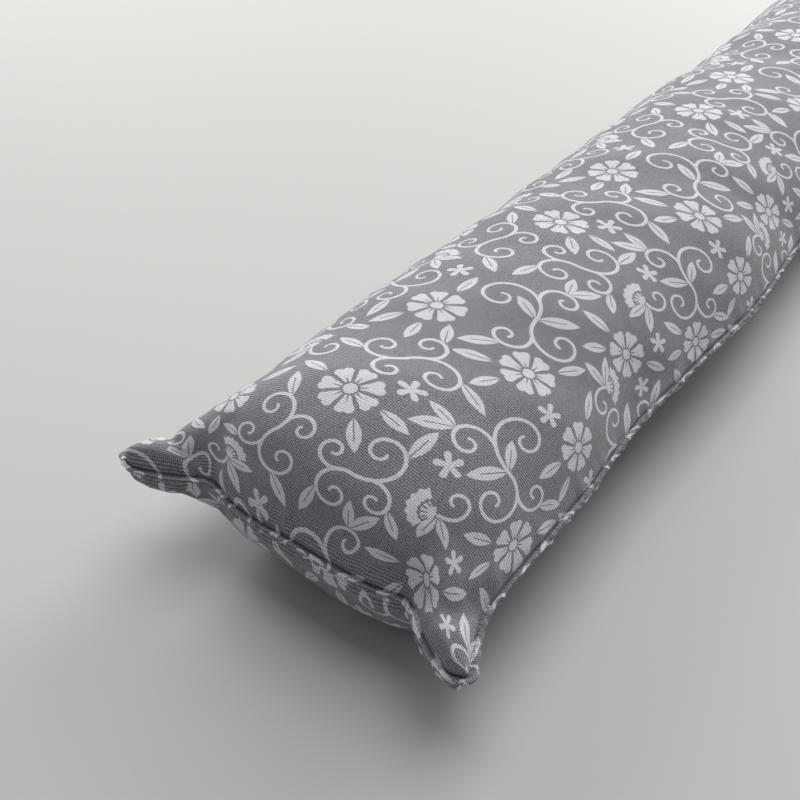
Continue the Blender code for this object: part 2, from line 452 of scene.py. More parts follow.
def puckered(points, outward, twist):
    """The panel with its puckers and dents, pushed along its normals; the seam itself stays."""
    from_end = PANEL_LENGTH / 2 - np.abs(FINE_ALONG)
    from_side = PANEL_WIDTH / 2 - np.abs(FINE_ACROSS)
    side_run = FINE_ALONG + SIDE_APART * np.sign(FINE_ACROSS)
    by_side = pucker_wave(side_run, twist + PUCKER_DRIFT * FINE_ACROSS)
    end_run = FINE_ACROSS + END_APART * np.sign(FINE_ALONG)
    by_end = pucker_wave(end_run, twist + PUCKER_DRIFT * FINE_ALONG)
    depth_side = fall(from_side, PUCKER_REACH) * (1.0 - np.exp(-from_side / PUCKER_RISE))
    depth_end = fall(from_end, PUCKER_REACH) * (1.0 - np.exp(-from_end / PUCKER_RISE))
    nearest_edge = np.minimum(from_end, from_side)
    inside = 1.0 - fall(nearest_edge, DENT_REACH)
    bulge = fall(nearest_edge, BULGE_REACH) * (1.0 - np.exp(-nearest_edge / BULGE_RISE))
    push = PUCKER_DEPTH * (by_side * depth_side + by_end * depth_end)
    push = push + SEAM_BULGE * bulge
    push = push + DENT_DEPTH * inside * dent_wave(FINE_ALONG, FINE_ACROSS + DENT_SHIFT * twist)
    moved = points + push[..., None] * surface_normals(points, outward)
    height = points[..., 2]
    moved[..., 2] = np.where(height < FLAT_UNDER, height, np.maximum(moved[..., 2], 0.0))
    return moved


upper_skin = puckered(skins[0], 1.0, 0.0)
lower_skin = puckered(skins[1], -1.0, LOWER_TWIST)

fine_rows, fine_columns = upper_skin.shape[:2]
kept_points, cover_faces = sewn_faces(fine_rows, fine_columns)
both_skins = np.vstack([upper_skin.reshape(-1, 3), lower_skin.reshape(-1, 3)])
cover = add_piece("cover", both_skins[kept_points], cover_faces.tolist())

# The print runs on from panel to panel by its place on the flat cut, in metres: map "cut".
LOWER_OFFSET = (0.061, 0.247)


def lower_cut(place):
    """Where a point of the lower panel falls on the length of cloth that both were cut from."""
    return np.stack([place[..., 0] + LOWER_OFFSET[0], LOWER_OFFSET[1] - place[..., 1]], axis=-1)


cut_place = np.stack([FINE_ALONG, FINE_ACROSS], axis=-1)
cells = grid_quads(fine_rows, fine_columns)
upper_corners = cut_place.reshape(-1, 2)[cells]
lower_corners = lower_cut(cut_place).reshape(-1, 2)[cells[:, ::-1]]
add_map(cover, "cut", np.vstack([upper_corners, lower_corners]))

# For the baked copy each panel is laid out in thirds: three rows of two, with a margin round each.
BAKE_MARGIN = 0.004
BAKE_ROWS = 3
BAKE_COLUMNS = 2
third = PANEL_LENGTH / BAKE_ROWS


def bake_layout(corners, column):
    """Moves each third of a panel to its own cell of the square."""
    middle = corners.mean(axis=1, keepdims=True)
    row = np.clip(np.floor((middle[..., :1] + PANEL_LENGTH / 2) / third), 0, BAKE_ROWS - 1)
    u = (corners[..., :1] + PANEL_LENGTH / 2 - row * third) / third
    v = (corners[..., 1:] + PANEL_WIDTH / 2) / PANEL_WIDTH
    shrink = 1.0 - BAKE_ROWS * BAKE_COLUMNS * BAKE_MARGIN
    u = (column + 0.5 + (u - 0.5) * shrink) / BAKE_COLUMNS
    v = (row + 0.5 + (v - 0.5) * shrink) / BAKE_ROWS
    return np.concatenate([u, v], axis=-1)


lower_flat = cut_place.reshape(-1, 2)[cells[:, ::-1]]
add_map(cover, "OFBake", np.vstack([bake_layout(upper_corners, 0), bake_layout(lower_flat, 1)]))
cover.data.uv_layers["cut"].active_render = True

# Print: off-white scrolls, daisies, leaves, buds and small stars on mid grey, drawn as distances in
# millimetres on a repeat of 176 by 206, each motif measured from its own nearest copy.
MILLIMETRES = 1000.0  # in a metre
REPEAT = (176.0, 206.0)
# Places of the motifs: east, north, turn in degrees, and hand (-1 is mirrored).
SPRAYS = (
    (0, 149, 120, -1), (79, 49, 15, 1), (80, 106, 30, -1), (80, 185, 330, 1),
)
TENDRILS = (
    (42, 59, 300, -1), (135, 24, 60, 1), (20, 3, 45, -1), (150, 88, 75, 1), (132, 192, 195, 1),
)
POSIES = (
    (109, 44, 75, -1), (116, 88, 225, -1), (12, 45, 300, 1), (139, 158, 15, 1),
    (80, 140, 240, 1),
)
DAISIES = (
    (41, 132, 105, 1), (62, 14, 75, 1), (147, 58, 255, 1), (32, 87, 60, 1), (106, 144, 30, 1),
    (165, 8, 150, 1), (49, 172, 45, 1), (159, 119, 60, 1),
)
STARS = (
    (68, 89, 330, 1), (159, 168, 45, -1), (96, 22, 315, -1), (0, 83, 225, 1),
    (42, 109, 270, -1), (2, 197, 225, 1), (172, 69, 120, -1), (129, 137, 345, -1),
    (107, 122, 300, 1), (37, 154, 30, 1),
)
# Stems: start east, start north, heading, hand, radius, turns, tightness.
# Leaves: base east, base north, heading, length, width. Buds: the same, with a radius.
SPRAY_CURLS = (
    (0, 0, 30, 1, 18.5, 1.35, 8.0),
    (0, 0, 210, 1, 15.5, 1.3, 7.0),
    (8.1, 9.9, 61, -1, 11.5, 1.2, 6.0),
    (-6.5, -7.7, -122, -1, 11, 1.2, 6.0),
)
SPRAY_LEAVES = (
    (0.9, -0.0, 337, 19, 3.0),
    (0.2, 0.8, 86, 15, 2.8),
    (24.4, 12.2, 356, 17, 2.9),
    (24.2, 12.7, 44, 14, 2.6),
    (-22.5, -8.3, 158, 17, 2.9),
)
TENDRIL_CURLS = (
    (0, 0, 75, 1, 15, 1.3, 7.0),
    (0, 0, 255, 1, 12.5, 1.25, 6.0),
    (-0.1, 7.8, 95, -1, 9.5, 1.15, 5.0),
    (0.0, -6.5, -85, -1, 8.5, 1.1, 5.0),
)
TENDRIL_LEAVES = (
    (10.2, 17.0, 25, 14, 2.6),
    (-14.9, 16.1, 161, 17, 2.8),
    (10.3, -14.2, 329, 16, 2.7),
)
POSY_CURLS = ((0, -1.0, 262, 1, 9.5, 1.0, 5.0),)
POSY_LEAVES = (
    (-0.8, -0.6, 163, 15.5, 2.6),
    (-0.7, -1.5, 214, 16, 2.7),
)
POSY_BUDS = ((0, 0, 92, 12.5),)
DAISY_LEAVES = (
    (5.4, 13.4, 64, 16, 2.8),
    (-4.6, 13.6, 108, 14.5, 2.6),
    (2.6, -14.2, -78, 17, 2.6),
)
DAISY_RADIUS = 13.4
STAR_RADIUS = 6.0
STEM_HALF = 0.88
STEM_TAPER = 0.25  # share of that which a stem loses by its end


class Field:
    """A value that changes over the cloth. Arithmetic on it adds Math nodes to its shader."""

    def __init__(self, tree, socket):
        self.tree = tree
        self.socket = socket

    def __add__(self, other):
        return maths("ADD", self, other)

    def __sub__(self, other):
        return maths("SUBTRACT", self, other)

    def __rsub__(self, other):
        return maths("SUBTRACT", other, self)

    def __mul__(self, other):
        return maths("MULTIPLY", self, other)

    def __neg__(self):
        return maths("MULTIPLY", self, -1.0)

    __radd__ = __add__
    __rmul__ = __mul__


def plug(value, node, socket):
    """Wires a field into one of a node's inputs, or writes a plain value there."""
    if isinstance(value, Field):
        value.tree.links.new(value.socket, node.inputs[socket])
    else:
        node.inputs[socket].default_value = value


def node_of(kind, operation, output, values):
    """Adds a node, fills its inputs in their order, and gives one of its outputs."""
    tree = next(value.tree for value in values if isinstance(value, Field))
    node = tree.nodes.new(kind)
    if operation is not None:
        node.operation = operation
    for place, value in enumerate(values):
        plug(value, node, place)
    return Field(tree, node.outputs[output])


def maths(operation, *values):
    return node_of("ShaderNodeMath", operation, 0, values)


def vector_maths(operation, *values, output="Vector"):
    return node_of("ShaderNodeVectorMath", operation, output, values)


def length_of(place):
    return vector_maths("LENGTH", place, output="Value")


def least(one, other):
    return maths("MINIMUM", one, other)


def most(one, other):
    return maths("MAXIMUM", one, other)


def size_of(field):
    return maths("ABSOLUTE", field)


def multiply_add(field, factor, addend):
    return maths("MULTIPLY_ADD", field, factor, addend)


def split(place):
    """East and north parts of a place, and its third part."""
    node = place.tree.nodes.new("ShaderNodeSeparateXYZ")
    plug(place, node, 0)
    return [Field(place.tree, node.outputs[part]) for part in range(3)]


def joined(east, north):
    return node_of("ShaderNodeCombineXYZ", None, 0, (east, north, 0.0))


def seen_from(place, east, north, turn, size=1.0, hand=1):
    """The place measured from a point, along a heading in degrees, mirrored if hand is -1."""
    node = place.tree.nodes.new("ShaderNodeMapping")
    node.vector_type = "TEXTURE"
    plug(place, node, "Vector")
    plug((east, north, 0.0), node, "Location")
    plug((0.0, 0.0, math.radians(turn)), node, "Rotation")
    plug((size, size * hand, 1.0), node, "Scale")
    return Field(place.tree, node.outputs[0])


def turned(place, angle):
    """The place turned about the origin by a field of angles."""
    node = place.tree.nodes.new("ShaderNodeVectorRotate")
    node.rotation_type = "Z_AXIS"
    plug(place, node, "Vector")
    plug(angle, node, "Angle")
    return Field(place.tree, node.outputs[0])


VECTOR_A, VECTOR_B, VECTOR_OUT = 4, 5, 1  # sockets of a Mix node that mixes vectors
COLOUR_A, COLOUR_B, COLOUR_OUT = 6, 7, 2  # and of one that mixes colours


def chosen(one, other, share):
    """one where share is 0 and other where it is 1, as vectors."""
    node = one.tree.nodes.new("ShaderNodeMix")
    node.data_type = "VECTOR"
    plug(share, node, 0)
    plug(one, node, VECTOR_A)
    plug(other, node, VECTOR_B)
    return Field(one.tree, node.outputs[VECTOR_OUT])


TURN_CODE = 1000.0  # a copy's turn rides in the third part of its place, in thousandths


def from_nearest(place, copies):
    """The place measured from the nearest copy of a motif, with the repeat wrapped round, then
    turned and mirrored as that copy is."""
    nearest, distance = None, None
    half = (REPEAT[0] / 2, REPEAT[1] / 2, 1.0)
    for east, north, turn, hand in copies:
        code = hand * (turn % 360 + 1.0) / TURN_CODE
        offset = vector_maths("SUBTRACT", place, (east, north, -code))
        offset = vector_maths("WRAP", offset, half, tuple(-part for part in half))
        away = length_of(offset)
        if nearest is None:
            nearest, distance = offset, away
        else:
            closer = maths("LESS_THAN", away, distance)
            nearest = chosen(nearest, offset, closer)
            distance = least(away, distance)
    code = split(nearest)[2]
    degrees = multiply_add(size_of(code), TURN_CODE, -1.0)
    angle = maths("RADIANS", degrees)
    east, north, _ = split(turned(nearest, -angle))
    return joined(east, north * maths("SIGN", code))


def curl(place, row):
    """Depth inside a stem that winds into a spiral whose radius shrinks by a fixed share a turn.

    It finds the winding nearest the place, holds it between the two ends of the stem, and takes
    the distance to that point of the spiral from half the stem's width."""
    east, north, heading, hand, radius, turns, tightness = row
    whole = 2 * math.pi * turns
    shrink = math.log(tightness) / whole
    to_eye = math.radians(heading) + hand * (math.pi / 2 - math.atan(shrink))
    eye = (east + radius * math.cos(to_eye), north + radius * math.sin(to_eye))
    here = seen_from(place, eye[0], eye[1], math.degrees(to_eye) + 180, radius, hand)
    u, v, _ = split(here)
    angle = maths("ARCTAN2", v, u)
    reach = length_of(here)
    rounds = maths("LOGARITHM", reach, math.exp(-2 * math.pi * shrink))
    rounds = maths("ROUND", multiply_add(angle, -1 / (2 * math.pi), rounds))
    wound = multiply_add(rounds, 2 * math.pi, angle)
    wound = least(most(wound, 0.0), whole)
    arm = joined(maths("POWER", math.exp(-shrink), wound), 0.0)
    away = vector_maths("DISTANCE", here, turned(arm, wound), output="Value")
    half = multiply_add(wound, -STEM_TAPER * STEM_HALF / whole, STEM_HALF)
    return multiply_add(away, -radius, half)


RIB_HALF = 0.28
RIB_SHARE = 0.68  # of the leaf's length that its rib reaches
LEAF_EDGE = 0.85  # turns depth across a leaf into about its depth from the slanting side


def leaf(place, row):
    """Depth inside a leaf with a parabola for each side, less the slit of its rib."""
    east, north, heading, length, width = row
    u, v, _ = split(seen_from(place, east, north, heading))
    share = multiply_add(u, 2 / length, -1.0)
    body = multiply_add(share * share, -width, width) - size_of(v)
    slit = least(RIB_HALF - size_of(v), RIB_SHARE * length - u)
    return least(body * LEAF_EDGE, -slit)


# Shares of a bud's radius, except for the angles, which are in radians to each side.
TOOTH_ANGLE, TOOTH, TOOTH_INSIDE = 0.17, 0.55, 0.6
RIM_FROM, RIM_OPEN = 0.62, 0.98
RAY_ANGLE, RAY_HALF, RAY_TO, RAY_OPEN = 0.21, 0.13, 0.5, 0.8
BASE_TO, BASE_OPEN = 0.3, 1.15


def bud(place, row):
    """Depth inside a half-open bud: a toothed rim, short rays and a round base, as rings of one
    centre cut to an opening angle."""
    east, north, heading, radius = row
    here = seen_from(place, east, north, heading)
    u, v, _ = split(here)
    reach = length_of(here)
    angle = maths("ARCTAN2", v, u)
    open_angle = size_of(angle)
    tooth = size_of(maths("WRAP", angle, TOOTH_ANGLE, -TOOTH_ANGLE)) * (TOOTH * radius)
    rim = least(radius - tooth - reach, reach - (RIM_FROM * radius - tooth * TOOTH_INSIDE))
    rim = least(rim, (RIM_OPEN - open_angle) * reach)
    ray = RAY_HALF - size_of(maths("WRAP", angle, RAY_ANGLE, -RAY_ANGLE))
    ray = least(least(RAY_TO * radius - reach, ray * reach), (RAY_OPEN - open_angle) * reach)
    base = least(BASE_TO * radius - reach, BASE_OPEN - open_angle)
    return most(most(rim, ray), base)


# Sizes of one petal, in millimetres, on a daisy of DRAWN_RADIUS.
DRAWN_RADIUS = 14.0
PETALS = 7
LOBE_OUT, LOBE_ASIDE, LOBE_RADIUS = 10.6, 1.72, 2.15
WEDGE_SLOPE, WEDGE_START, WEDGE_EDGE, WEDGE_TO = 0.372, 0.42, 0.93, 10.4
PETAL_SLIT_HALF, PETAL_SLIT_TAPER, PETAL_SLIT_TO = 0.74, 0.085, 6.8
PETAL_FROM, BUTTON_RADIUS = 3.7, 2.75


def daisy(place, radius):
    """Depth inside a daisy of seven heart-shaped petals, each slit from its base, round a button.

    A petal is a wedge with a round lobe on each side of its end. All seven are one petal, by
    wrapping the angle, and half a petal, by taking the size of the sideways part."""
    k = radius / DRAWN_RADIUS
    u, v, _ = split(place)
    reach = length_of(place)
    half_petal = math.pi / PETALS
    angle = maths("WRAP", maths("ARCTAN2", v, u), half_petal, -half_petal)
    a = reach * maths("COSINE", angle)
    b = size_of(reach * maths("SINE", angle))
    corner = joined(a - LOBE_OUT * k, b - LOBE_ASIDE * k)
    lobe = LOBE_RADIUS * k - length_of(corner)
    wedge = multiply_add(a, WEDGE_SLOPE, -WEDGE_START * k) - b * WEDGE_EDGE
    wedge = least(wedge, WEDGE_TO * k - a)
    slit = multiply_add(a, -PETAL_SLIT_TAPER, PETAL_SLIT_HALF * k) - b
    slit = least(slit, PETAL_SLIT_TO * k - a)
    petal = least(most(lobe, wedge), -slit)
    return most(least(petal, reach - PETAL_FROM * k), BUTTON_RADIUS * k - reach)


# Shares of a star's radius, and how much an arm's half width grows for each unit outwards.
ARM_FROM, ARM_TO, ARM_HALF = 0.2, 0.76, 0.14
ARM_GROWS = 0.13
ARMS = 5


def star(place, radius):
    """Depth inside a star of five round-ended arms, all one arm by wrapping the angle."""
    u, v, _ = split(place)
    reach = length_of(place)
    half_arm = math.pi / ARMS
    angle = maths("WRAP", maths("ARCTAN2", v, u), half_arm, -half_arm)
    a = reach * maths("COSINE", angle)
    b = reach * maths("SINE", angle)
    on_arm = least(most(a, ARM_FROM * radius), ARM_TO * radius)
    half = multiply_add(on_arm, ARM_GROWS, ARM_HALF * radius)
    return half - length_of(joined(a - on_arm, b))


def deepest(fields):
    """The greatest of several depths, so that overlapping motifs join."""
    total = fields[0]
    for field in fields[1:]:
        total = most(total, field)
    return total


def new_group(name, takes, gives):
    """An empty node group with named inputs and outputs, and its two end nodes."""
    group = bpy.data.node_groups.new(name, "ShaderNodeTree")
    for socket, kind in takes:
        group.interface.new_socket(socket, in_out="INPUT", socket_type=kind)
    for socket, kind in gives:
        group.interface.new_socket(socket, in_out="OUTPUT", socket_type=kind)
    return group, group.nodes.new("NodeGroupInput"), group.nodes.new("NodeGroupOutput")


def printed_scroll():
    """Group: the depth of the print, in millimetres inside a motif's edge, at a place."""
    takes = [("Place", "NodeSocketVector")]
    group, start, end = new_group("printed_scroll", takes, [("Depth", "NodeSocketFloat")])
    place = Field(group, start.outputs["Place"])
    spray = from_nearest(place, SPRAYS)
    depth = deepest(
        [curl(spray, row) for row in SPRAY_CURLS] + [leaf(spray, row) for row in SPRAY_LEAVES]
    )
    tendril = from_nearest(place, TENDRILS)
    depth = deepest(
        [depth]
        + [curl(tendril, row) for row in TENDRIL_CURLS]
        + [leaf(tendril, row) for row in TENDRIL_LEAVES]
    )
    posy = from_nearest(place, POSIES)
    depth = deepest(
        [depth]
        + [curl(posy, row) for row in POSY_CURLS]
        + [leaf(posy, row) for row in POSY_LEAVES]
        + [bud(posy, row) for row in POSY_BUDS]
    )
    flower = from_nearest(place, DAISIES)
    depth = deepest(
        [depth, daisy(flower, DAISY_RADIUS)] + [leaf(flower, row) for row in DAISY_LEAVES]
    )
    depth = most(depth, star(from_nearest(place, STARS), STAR_RADIUS))
    plug(depth, end, "Depth")
    return group


def noise_of(place, scale, detail=2.0, roughness=0.5):
    """Soft noise from 0 to 1 at a place."""
    node = place.tree.nodes.new("ShaderNodeTexNoise")
    plug(place, node, "Vector")
    plug(scale, node, "Scale")
    plug(detail, node, "Detail")
    plug(roughness, node, "Roughness")
    return Field(place.tree, node.outputs[0])


YARN_SWAY, YARN_SWAY_SCALE = 1.6, 0.11  # how far the yarns wander, in millimetres
YARN_ROUND = 0.5  # power of a yarn's rounding
YARN_STEP = 3.7  # sets one yarn's shade apart from the next one's
YARN_LENGTHEN = 0.22  # how slowly that shade changes along a yarn
SPECK_SCALE = 0.9
UNEVEN = 1.1  # how much the yarns, and the specks on them, differ
TONE_MIDDLE = 0.62
WARP_LIGHTER = 0.22


def plain_weave():
    """Group: a plain weave. Each yarn is a rounded rib, one pitch from the next, that dives under
    every other crossing one. Height is the yarn on top, and Tone is the yarn's own shade, uneven
    along its length."""
    number = "NodeSocketFloat"
    takes = [("Place", "NodeSocketVector"), ("Warp", number), ("Weft", number)]
    gives = [("Height", number), ("Tone", number)]
    group, start, end = new_group("plain_weave", takes, gives)
    place = Field(group, start.outputs["Place"])
    warp_pitch = Field(group, start.outputs["Warp"])
    weft_pitch = Field(group, start.outputs["Weft"])
    sway = noise_of(place, YARN_SWAY_SCALE) * YARN_SWAY
    east, north, _ = split(place)
    across = maths("DIVIDE", east + sway, warp_pitch)
    along = maths("DIVIDE", north - sway, weft_pitch)
    warp = maths("SINE", across * math.pi)
    weft = maths("SINE", along * math.pi)
    warp_up = multiply_add(maths("SIGN", warp) * weft, 0.5, 0.5)
    weft_up = multiply_add(maths("SIGN", weft) * warp, -0.5, 0.5)
    warp_high = maths("POWER", size_of(warp), YARN_ROUND) * warp_up
    weft_high = maths("POWER", size_of(weft), YARN_ROUND) * weft_up
    height = most(warp_high, weft_high)
    warp_run = joined(maths("FLOOR", across) * YARN_STEP, along * YARN_LENGTHEN)
    weft_run = joined(across * YARN_LENGTHEN, maths("FLOOR", along) * YARN_STEP)
    warp_shade = noise_of(warp_run, 1.0, detail=3.0)
    weft_shade = noise_of(weft_run, 1.0, detail=3.0)
    on_top = maths("GREATER_THAN", warp_high, weft_high)
    yarn = warp_shade * on_top + weft_shade * (1.0 - on_top)
    speck = noise_of(place, SPECK_SCALE, roughness=0.7)
    tone = multiply_add(yarn, UNEVEN, -UNEVEN / 2) + multiply_add(speck, UNEVEN, -UNEVEN / 2)
    tone = tone + multiply_add(on_top, WARP_LIGHTER, TONE_MIDDLE)
    plug(height, end, "Height")
    plug(tone, end, "Tone")
    return group


WARP_PITCH = 1.16  # yarns that lie across the body, counted along it
WEFT_PITCH = 0.80  # yarns that run the length of the body
# Ground and ink each run from their dark colour to their light one by the yarn's tone times a
# height term, which is painted light on the yarn tops and painted shade in the gaps.
GROUND_DARK = (0.058, 0.0567, 0.0645, 1.0)
GROUND_LIGHT = (0.396, 0.387, 0.432, 1.0)
INK_DARK = (0.46, 0.451, 0.503, 1.0)
INK_LIGHT = (0.91, 0.892, 0.960, 1.0)
# Painted light on top of a yarn and painted shade down in the gap between two, as factor and offset
# on its height.
PAINTED_YARN_LIGHT, PAINTED_GAP_SHADE = 2.1, -0.62  # shade on top of a yarn, and down between two
INK_EDGE = 0.16
INK_WOBBLE, INK_WOBBLE_SCALE = 0.3, 0.9
INK_ON_YARN, INK_IN_GAP = 0.30, -0.18  # the print takes on the yarns more than between them
INK_SMOOTHS = 0.12
CLOTH_ROUGHNESS = 0.86
CLOTH_SPECULAR = 0.25
CLOTH_SHEEN = 0.30
CLOTH_SHEEN_ROUGHNESS = 0.45
WEAVE_DEPTH = 0.00016
scroll_group = printed_scroll()
weave_group = plain_weave()


def mixed(one, other, share):
    """A colour between two, each a field or a plain colour."""
    node = share.tree.nodes.new("ShaderNodeMix")
    node.data_type = "RGBA"
    plug(share, node, 0)
    plug(one, node, COLOUR_A)
    plug(other, node, COLOUR_B)
    return Field(share.tree, node.outputs[COLOUR_OUT])


def placed_group(tree, group, **values):
    """Puts a node group into a material with its own values."""
    node = tree.nodes.new("ShaderNodeGroup")
    node.node_tree = group
    for name, value in values.items():
        plug(value, node, name)
    return node


def smooth_between(field, low, high):
    """0 under low, 1 over high, and an S curve between."""
    node = field.tree.nodes.new("ShaderNodeMapRange")
    node.interpolation_type = "SMOOTHSTEP"
    plug(field, node, "Value")
    plug(low, node, "From Min")
    plug(high, node, "From Max")
    return Field(field.tree, node.outputs[0])


def new_material(name):
    """A material with its node tree and its shader."""
    material = bpy.data.materials.new(name)
    material.use_nodes = True
    return material, material.node_tree, material.node_tree.nodes["Principled BSDF"]


def printed_cloth(name):
    """Grey plain weave with the print on top of its yarns; painted shade darkens the gaps between.
    """
    material, tree, shader = new_material(name)
    uv = tree.nodes.new("ShaderNodeUVMap")
    uv.uv_map = "cut"
    on_cut = Field(tree, uv.outputs[0])
    place = vector_maths("MULTIPLY", on_cut, (MILLIMETRES, MILLIMETRES, 0.0))
    weave = placed_group(tree, weave_group, Place=place, Warp=WARP_PITCH, Weft=WEFT_PITCH)
    height = Field(tree, weave.outputs["Height"])
    tone = Field(tree, weave.outputs["Tone"])
    drawn = placed_group(tree, scroll_group, Place=place)
    wobble = multiply_add(noise_of(place, INK_WOBBLE_SCALE), INK_WOBBLE, -INK_WOBBLE / 2)
    depth = Field(tree, drawn.outputs["Depth"]) + wobble
    depth = depth + multiply_add(height, INK_ON_YARN, INK_IN_GAP)
    inked = smooth_between(depth, -INK_EDGE, INK_EDGE)
    # Painted light and shade: the colour is lighter on the yarn tops and darker down in the gaps
    # between them, times each yarn's own tone.
    shade = tone * multiply_add(height, PAINTED_YARN_LIGHT, PAINTED_GAP_SHADE)
    ground = mixed(GROUND_DARK, GROUND_LIGHT, shade)
    ink = mixed(INK_DARK, INK_LIGHT, shade)
    colour = mixed(ground, ink, inked)
    plug(colour, shader, "Base Color")
    rough = multiply_add(inked, -INK_SMOOTHS, CLOTH_ROUGHNESS)
    plug(rough, shader, "Roughness")
    plug(CLOTH_SHEEN, shader, "Sheen Weight")
    plug(CLOTH_SHEEN_ROUGHNESS, shader, "Sheen Roughness")
    plug(CLOTH_SPECULAR, shader, "Specular IOR Level")
    raised = tree.nodes.new("ShaderNodeBump")
    plug(WEAVE_DEPTH, raised, "Distance")
    plug(1.0, raised, "Strength")
    plug(height, raised, "Height")
    plug(Field(tree, raised.outputs[0]), shader, "Normal")
    return material


cover.data.materials.append(printed_cloth("printed_cloth"))
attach(cover, "root")
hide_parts("cushion")

# ------------------------------------------------
# Edge roll. Both panels' seam allowances are turned in and stitched through about a millimetre
# from the seam, so two folded lips stand out side by side, puckered between the stitches.

STITCH_PITCH = 0.0025
STEPS_A_STITCH = 5
SEAM_SMOOTHING = 3
UPPER_LIP = (
    # out from the seam, up from its middle, lip (1 upper, -1 lower), dimple share, swell share
    (-0.0004, 0.0005, 1, 0.0, 0.0),
    (0.0004, 0.0006, 1, 0.8, 0.0),
    (0.0009, 0.0008, 1, 1.0, 0.1),
    (0.0017, 0.0013, 1, 0.3, 0.7),
    (0.0025, 0.0014, 1, 0.0, 1.0),
    (0.0032, 0.0008, 1, 0.0, 1.0),
    (0.0029, 0.0001, 1, 0.0, 0.6),
)
OUT, UP, LIP, DIMPLED, SWOLLEN = range(5)  # columns of that table
DIMPLE = 0.00040
LIP_WAVES = (
    # length of one, strength, phase
    (0.0050, 0.45, 0.0),
    (0.0081, 0.4, 1.0),
    (0.0143, 0.35, 2.0),
    (0.031, 0.3, 0.5),
)
LOWER_LIP_PHASE = 2.4
SWELL_OUT, SWELL_UP = 0.17, 0.26
ROLL_SWAY, ROLL_SWAY_LENGTH = 0.0005, 0.043  # the roll leans slowly up and down
ROLL_SWAY_AT = 0.004  # distance out at which it leans that much
HEADING_SMOOTHING = 8
ALLOWANCE_CUT = 1.3  # cloth in the roll for each unit that it stands out


def round_again(values, count):
    """Average of each value with its neighbours on a closed loop, done count times."""
    for _ in range(count):
        values = (np.roll(values, 1, axis=0) + 2 * values + np.roll(values, -1, axis=0)) / 4
    return values


def read_at(places, run, table):
    """Rows of a table read, by straight lines between them, at places along their run."""
    return np.stack([np.interp(places, run, column) for column in table.T], axis=-1)


def along_loop(points, other, step):
    """A closed loop of points at even steps of its length, with other read at the same places."""
    closed = np.vstack([points, points[:1]])
    run = np.concatenate([[0.0], np.cumsum(np.linalg.norm(np.diff(closed, axis=0), axis=1))])
    count = int(round(run[-1] / step))
    at = np.arange(count) * run[-1] / count
    return read_at(at, run, closed), read_at(at, run, np.vstack([other, other[:1]])), at


walk = seam_walk(fine_rows, fine_columns)
seam_points = round_again(upper_skin[walk[:, 0], walk[:, 1]], 1)
seam_cut = cut_place[walk[:, 0], walk[:, 1]]
seam_line, seam_cut, seam_run = along_loop(seam_points, seam_cut, STITCH_PITCH / STEPS_A_STITCH)
seam_line = round_again(seam_line, SEAM_SMOOTHING)
heading = np.roll(seam_line, -2, axis=0) - np.roll(seam_line, 2, axis=0)
heading = heading / np.linalg.norm(heading, axis=1)[:, None]
heading = round_again(heading, HEADING_SMOOTHING)
outward = np.stack([heading[:, 1], -heading[:, 0], np.zeros(len(heading))], axis=-1)
outward = outward / np.linalg.norm(outward, axis=1)[:, None]
upward = np.array([0.0, 0.0, 1.0])
cut_heading = np.roll(seam_cut, -2, axis=0) - np.roll(seam_cut, 2, axis=0)
cut_heading = round_again(cut_heading, HEADING_SMOOTHING)
cut_outward = np.stack([cut_heading[:, 1], -cut_heading[:, 0]], axis=-1)
cut_outward = cut_outward / (np.linalg.norm(cut_outward, axis=1)[:, None] + TINY)

upper_lip = np.array(UPPER_LIP)
lower_lip = upper_lip[::-1] * (1, -1, -1, 1, 1)
profile = np.vstack([upper_lip, lower_lip])


def roll_ripple(run, shift):
    """Uneven swelling of a lip along its run, about -1 to 1, as a sum of sines."""
    return sum(
        share * np.sin(2 * math.pi * run / length + phase + shift)
        for length, share, phase in LIP_WAVES
    )


def lip_surface(run):
    """Points of the roll: the profile carried round the seam, with a dimple at each stitch hole
    and each lip swelling on its own."""
    stitch = 0.5 + 0.5 * np.cos(2 * math.pi * run / STITCH_PITCH)
    swell_up = roll_ripple(run, 0.0)[:, None]
    swell_down = roll_ripple(run, LOWER_LIP_PHASE)[:, None]
    sway = ROLL_SWAY * np.sin(2 * math.pi * run / ROLL_SWAY_LENGTH)[:, None]
    swelling = np.where(profile[None, :, LIP] > 0, swell_up, swell_down)
    out = profile[None, :, OUT] * (1.0 + SWELL_OUT * swelling * profile[None, :, SWOLLEN])
    up = profile[None, :, UP] * (1.0 + SWELL_UP * swelling * profile[None, :, SWOLLEN])
    dimple = DIMPLE * profile[None, :, DIMPLED] * stitch[:, None]
    up = up - np.sign(profile[None, :, UP]) * dimple
    up = up + sway * (profile[None, :, OUT] / ROLL_SWAY_AT)
    return out, up


roll_out, roll_up = lip_surface(seam_run)
roll_points = (
    seam_line[:, None, :]
    + roll_out[..., None] * outward[:, None, :]
    + roll_up[..., None] * upward
)
around, sides = roll_out.shape
ring = np.arange(around * sides).reshape(around, sides)
ahead = np.roll(ring, -1, axis=0)
roll_faces = np.stack(
    [ring, np.roll(ring, -1, axis=1), np.roll(ahead, -1, axis=1), ahead], axis=-1
).reshape(-1, 4)[:, ::-1]
edge_roll = add_piece("seam_roll", roll_points.reshape(-1, 3), roll_faces.tolist())

roll_cut = seam_cut[:, None, :] + ALLOWANCE_CUT * profile[None, :, :1] * cut_outward[:, None, :]
roll_cut = np.where(profile[None, :, LIP, None] > 0, roll_cut, lower_cut(roll_cut))
add_map(edge_roll, "cut", roll_cut.reshape(-1, 2)[roll_faces])

